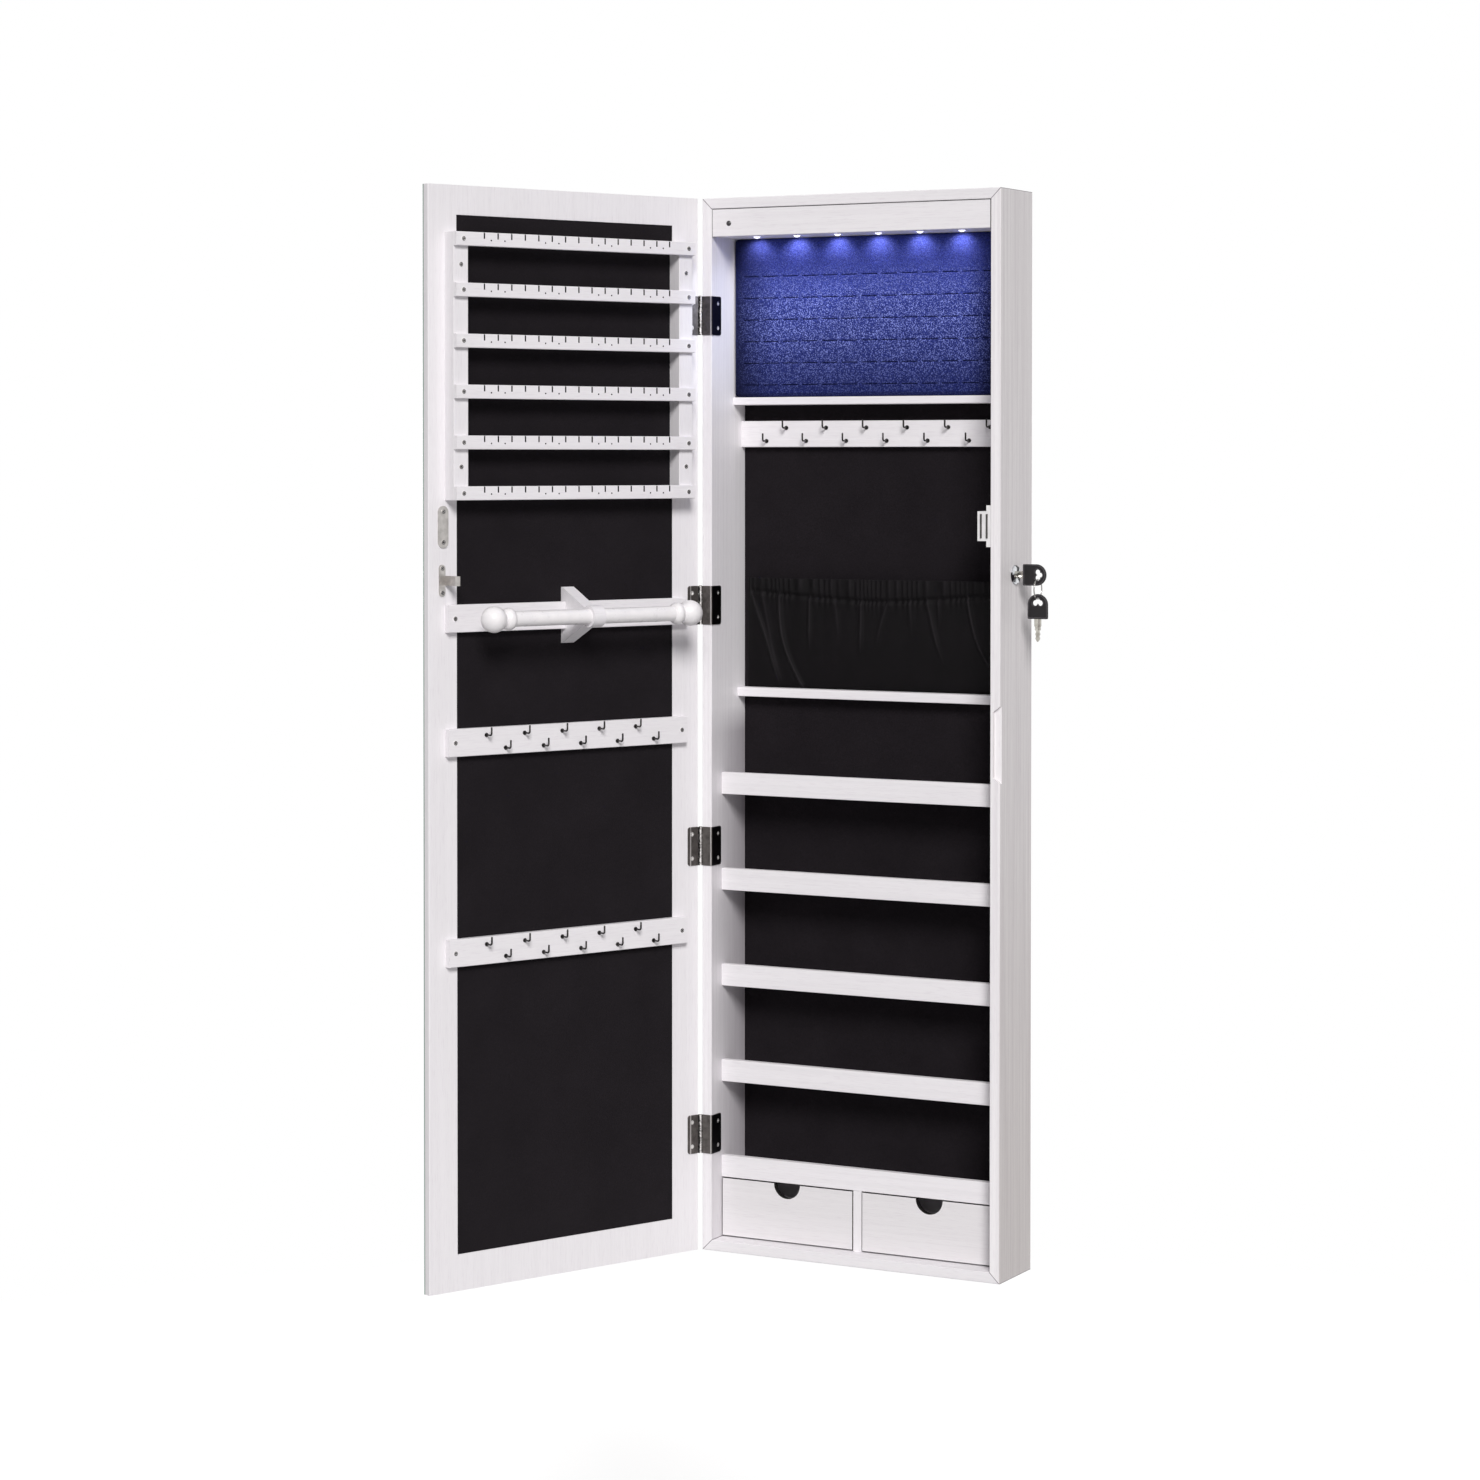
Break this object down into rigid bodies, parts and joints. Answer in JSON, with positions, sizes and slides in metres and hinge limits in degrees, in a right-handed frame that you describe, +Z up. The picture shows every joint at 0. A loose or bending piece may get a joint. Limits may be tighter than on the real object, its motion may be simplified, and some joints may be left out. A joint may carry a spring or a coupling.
{
  "type": "wall-mounted jewelry cabinet",
  "caption": "Slim wall cabinet with a hinged mirror door, earring rack, bangle rod, hook rails, ring cushion, pouch, open shelves, small drawers and a cam lock with keys.",
  "frame": {"origin": "centre of the cabinet's back face, on the wall plane", "axes": "+X to the right as seen from the front, +Y into the wall, +Z up; the front faces -Y"},
  "size_m": [0.5678, 0.4287, 1.2],
  "materials": {
    "laminate": "white laminate with a faint printed grain, satin",
    "hidden_board": "plain board behind the light box",
    "back_board": "thin painted hardboard, matte",
    "velvet": "near-black velvet",
    "ring_velvet": "velvet in blue light",
    "pouch_cloth": "gathered black stretch cloth",
    "mirror_glass": "polished silvered glass",
    "nickel": "brushed nickel plate",
    "chrome": "polished",
    "hook_steel": "bright plated wire",
    "screw_steel": "zinc plated",
    "white_plastic": "matte",
    "black_plastic": "satin",
    "rod_white": "turned wood, white satin lacquer",
    "magnet_steel": "dark",
    "light_lens": "clear lens over a blue light",
    "circuit": "circuit board"
  },
  "bodies": {
    "cabinet": {"left_side_panel": "laminate", "right_side_panel": "laminate", "top_panel": "laminate", "bottom_panel": "laminate", "back_panel": "back_board", "back_lining": "velvet", "hanging_batten": "hidden_board", "hanger_plates": "nickel", "light_fascia": "laminate", "light_tray": "laminate", "light_strip": "circuit", "light_lenses": "light_lens", "battery_box": "black_plastic", "ring_cushion": "ring_velvet", "ring_shelf": "laminate", "necklace_rail": "laminate", "necklace_hooks": "hook_steel", "pouch": "pouch_cloth", "pouch_shelf": "laminate", "shelf_boards": "laminate", "shelf_guard_1": "laminate", "shelf_guard_2": "laminate", "shelf_guard_3": "laminate", "shelf_guard_4": "laminate", "drawer_deck": "laminate", "drawer_rail": "laminate", "drawer_divider": "laminate", "catch_body": "white_plastic", "catch_magnet": "magnet_steel", "lock_housing": "chrome", "lock_nut": "nickel", "wrap_leaves": "nickel", "hinge_pins": "nickel", "cabinet_screws": "screw_steel"},
    "door": {"door_panel": "laminate", "mirror": "mirror_glass", "door_lining": "velvet", "earring_stiles": "laminate", "earring_slats": "laminate", "bangle_rail": "laminate", "bangle_bracket": "laminate", "bangle_rod": "rod_white", "upper_hook_rail": "laminate", "lower_hook_rail": "laminate", "door_hooks": "hook_steel", "door_leaves": "nickel", "strike_plate": "nickel", "lock_keeper": "nickel", "door_screws": "screw_steel"},
    "left_drawer": {"left_drawer_front": "laminate", "left_drawer_box": "laminate"},
    "right_drawer": {"right_drawer_front": "laminate", "right_drawer_box": "laminate"},
    "lock_core": {"lock_plug": "chrome", "lock_cam": "nickel", "cam_screw": "screw_steel"},
    "turning_key": {"key": "black_plastic"},
    "ring": {"key_ring": "hook_steel"},
    "hanging_key": {"spare_key": "black_plastic"}
  },
  "joints": [
    {"name": "door_hinge", "type": "hinge", "parent": "cabinet", "child": "door", "pos_m": [-0.1873, -0.0868, 0], "axis": [0, 0, -1], "range_deg": [-113, 67]},
    {"name": "left_drawer_slide", "type": "slide", "parent": "cabinet", "child": "left_drawer", "axis": [0, -1, 0], "range_m": [0, 0.04]},
    {"name": "right_drawer_slide", "type": "slide", "parent": "cabinet", "child": "right_drawer", "axis": [0, -1, 0], "range_m": [0, 0.04]},
    {"name": "key_turn", "type": "hinge", "parent": "cabinet", "child": "lock_core", "pos_m": [0.175, -0.0466, 0.1768], "axis": [1, 0, 0], "range_deg": [0, 90]},
    {"name": "key_pull", "type": "slide", "parent": "lock_core", "child": "turning_key", "axis": [1, 0, 0], "range_m": [0, 0.04]},
    {"name": "ring_slip", "type": "hinge", "parent": "turning_key", "child": "ring", "pos_m": [0.2127, -0.0466, 0.1612], "axis": [-1, 0, 0], "range_deg": [-45, 90]},
    {"name": "spare_key_swing", "type": "hinge", "parent": "ring", "child": "hanging_key", "pos_m": [0.2127, -0.0466, 0.15045], "axis": [0, -1, 0], "range_deg": [-25, 60]}
  ]
}
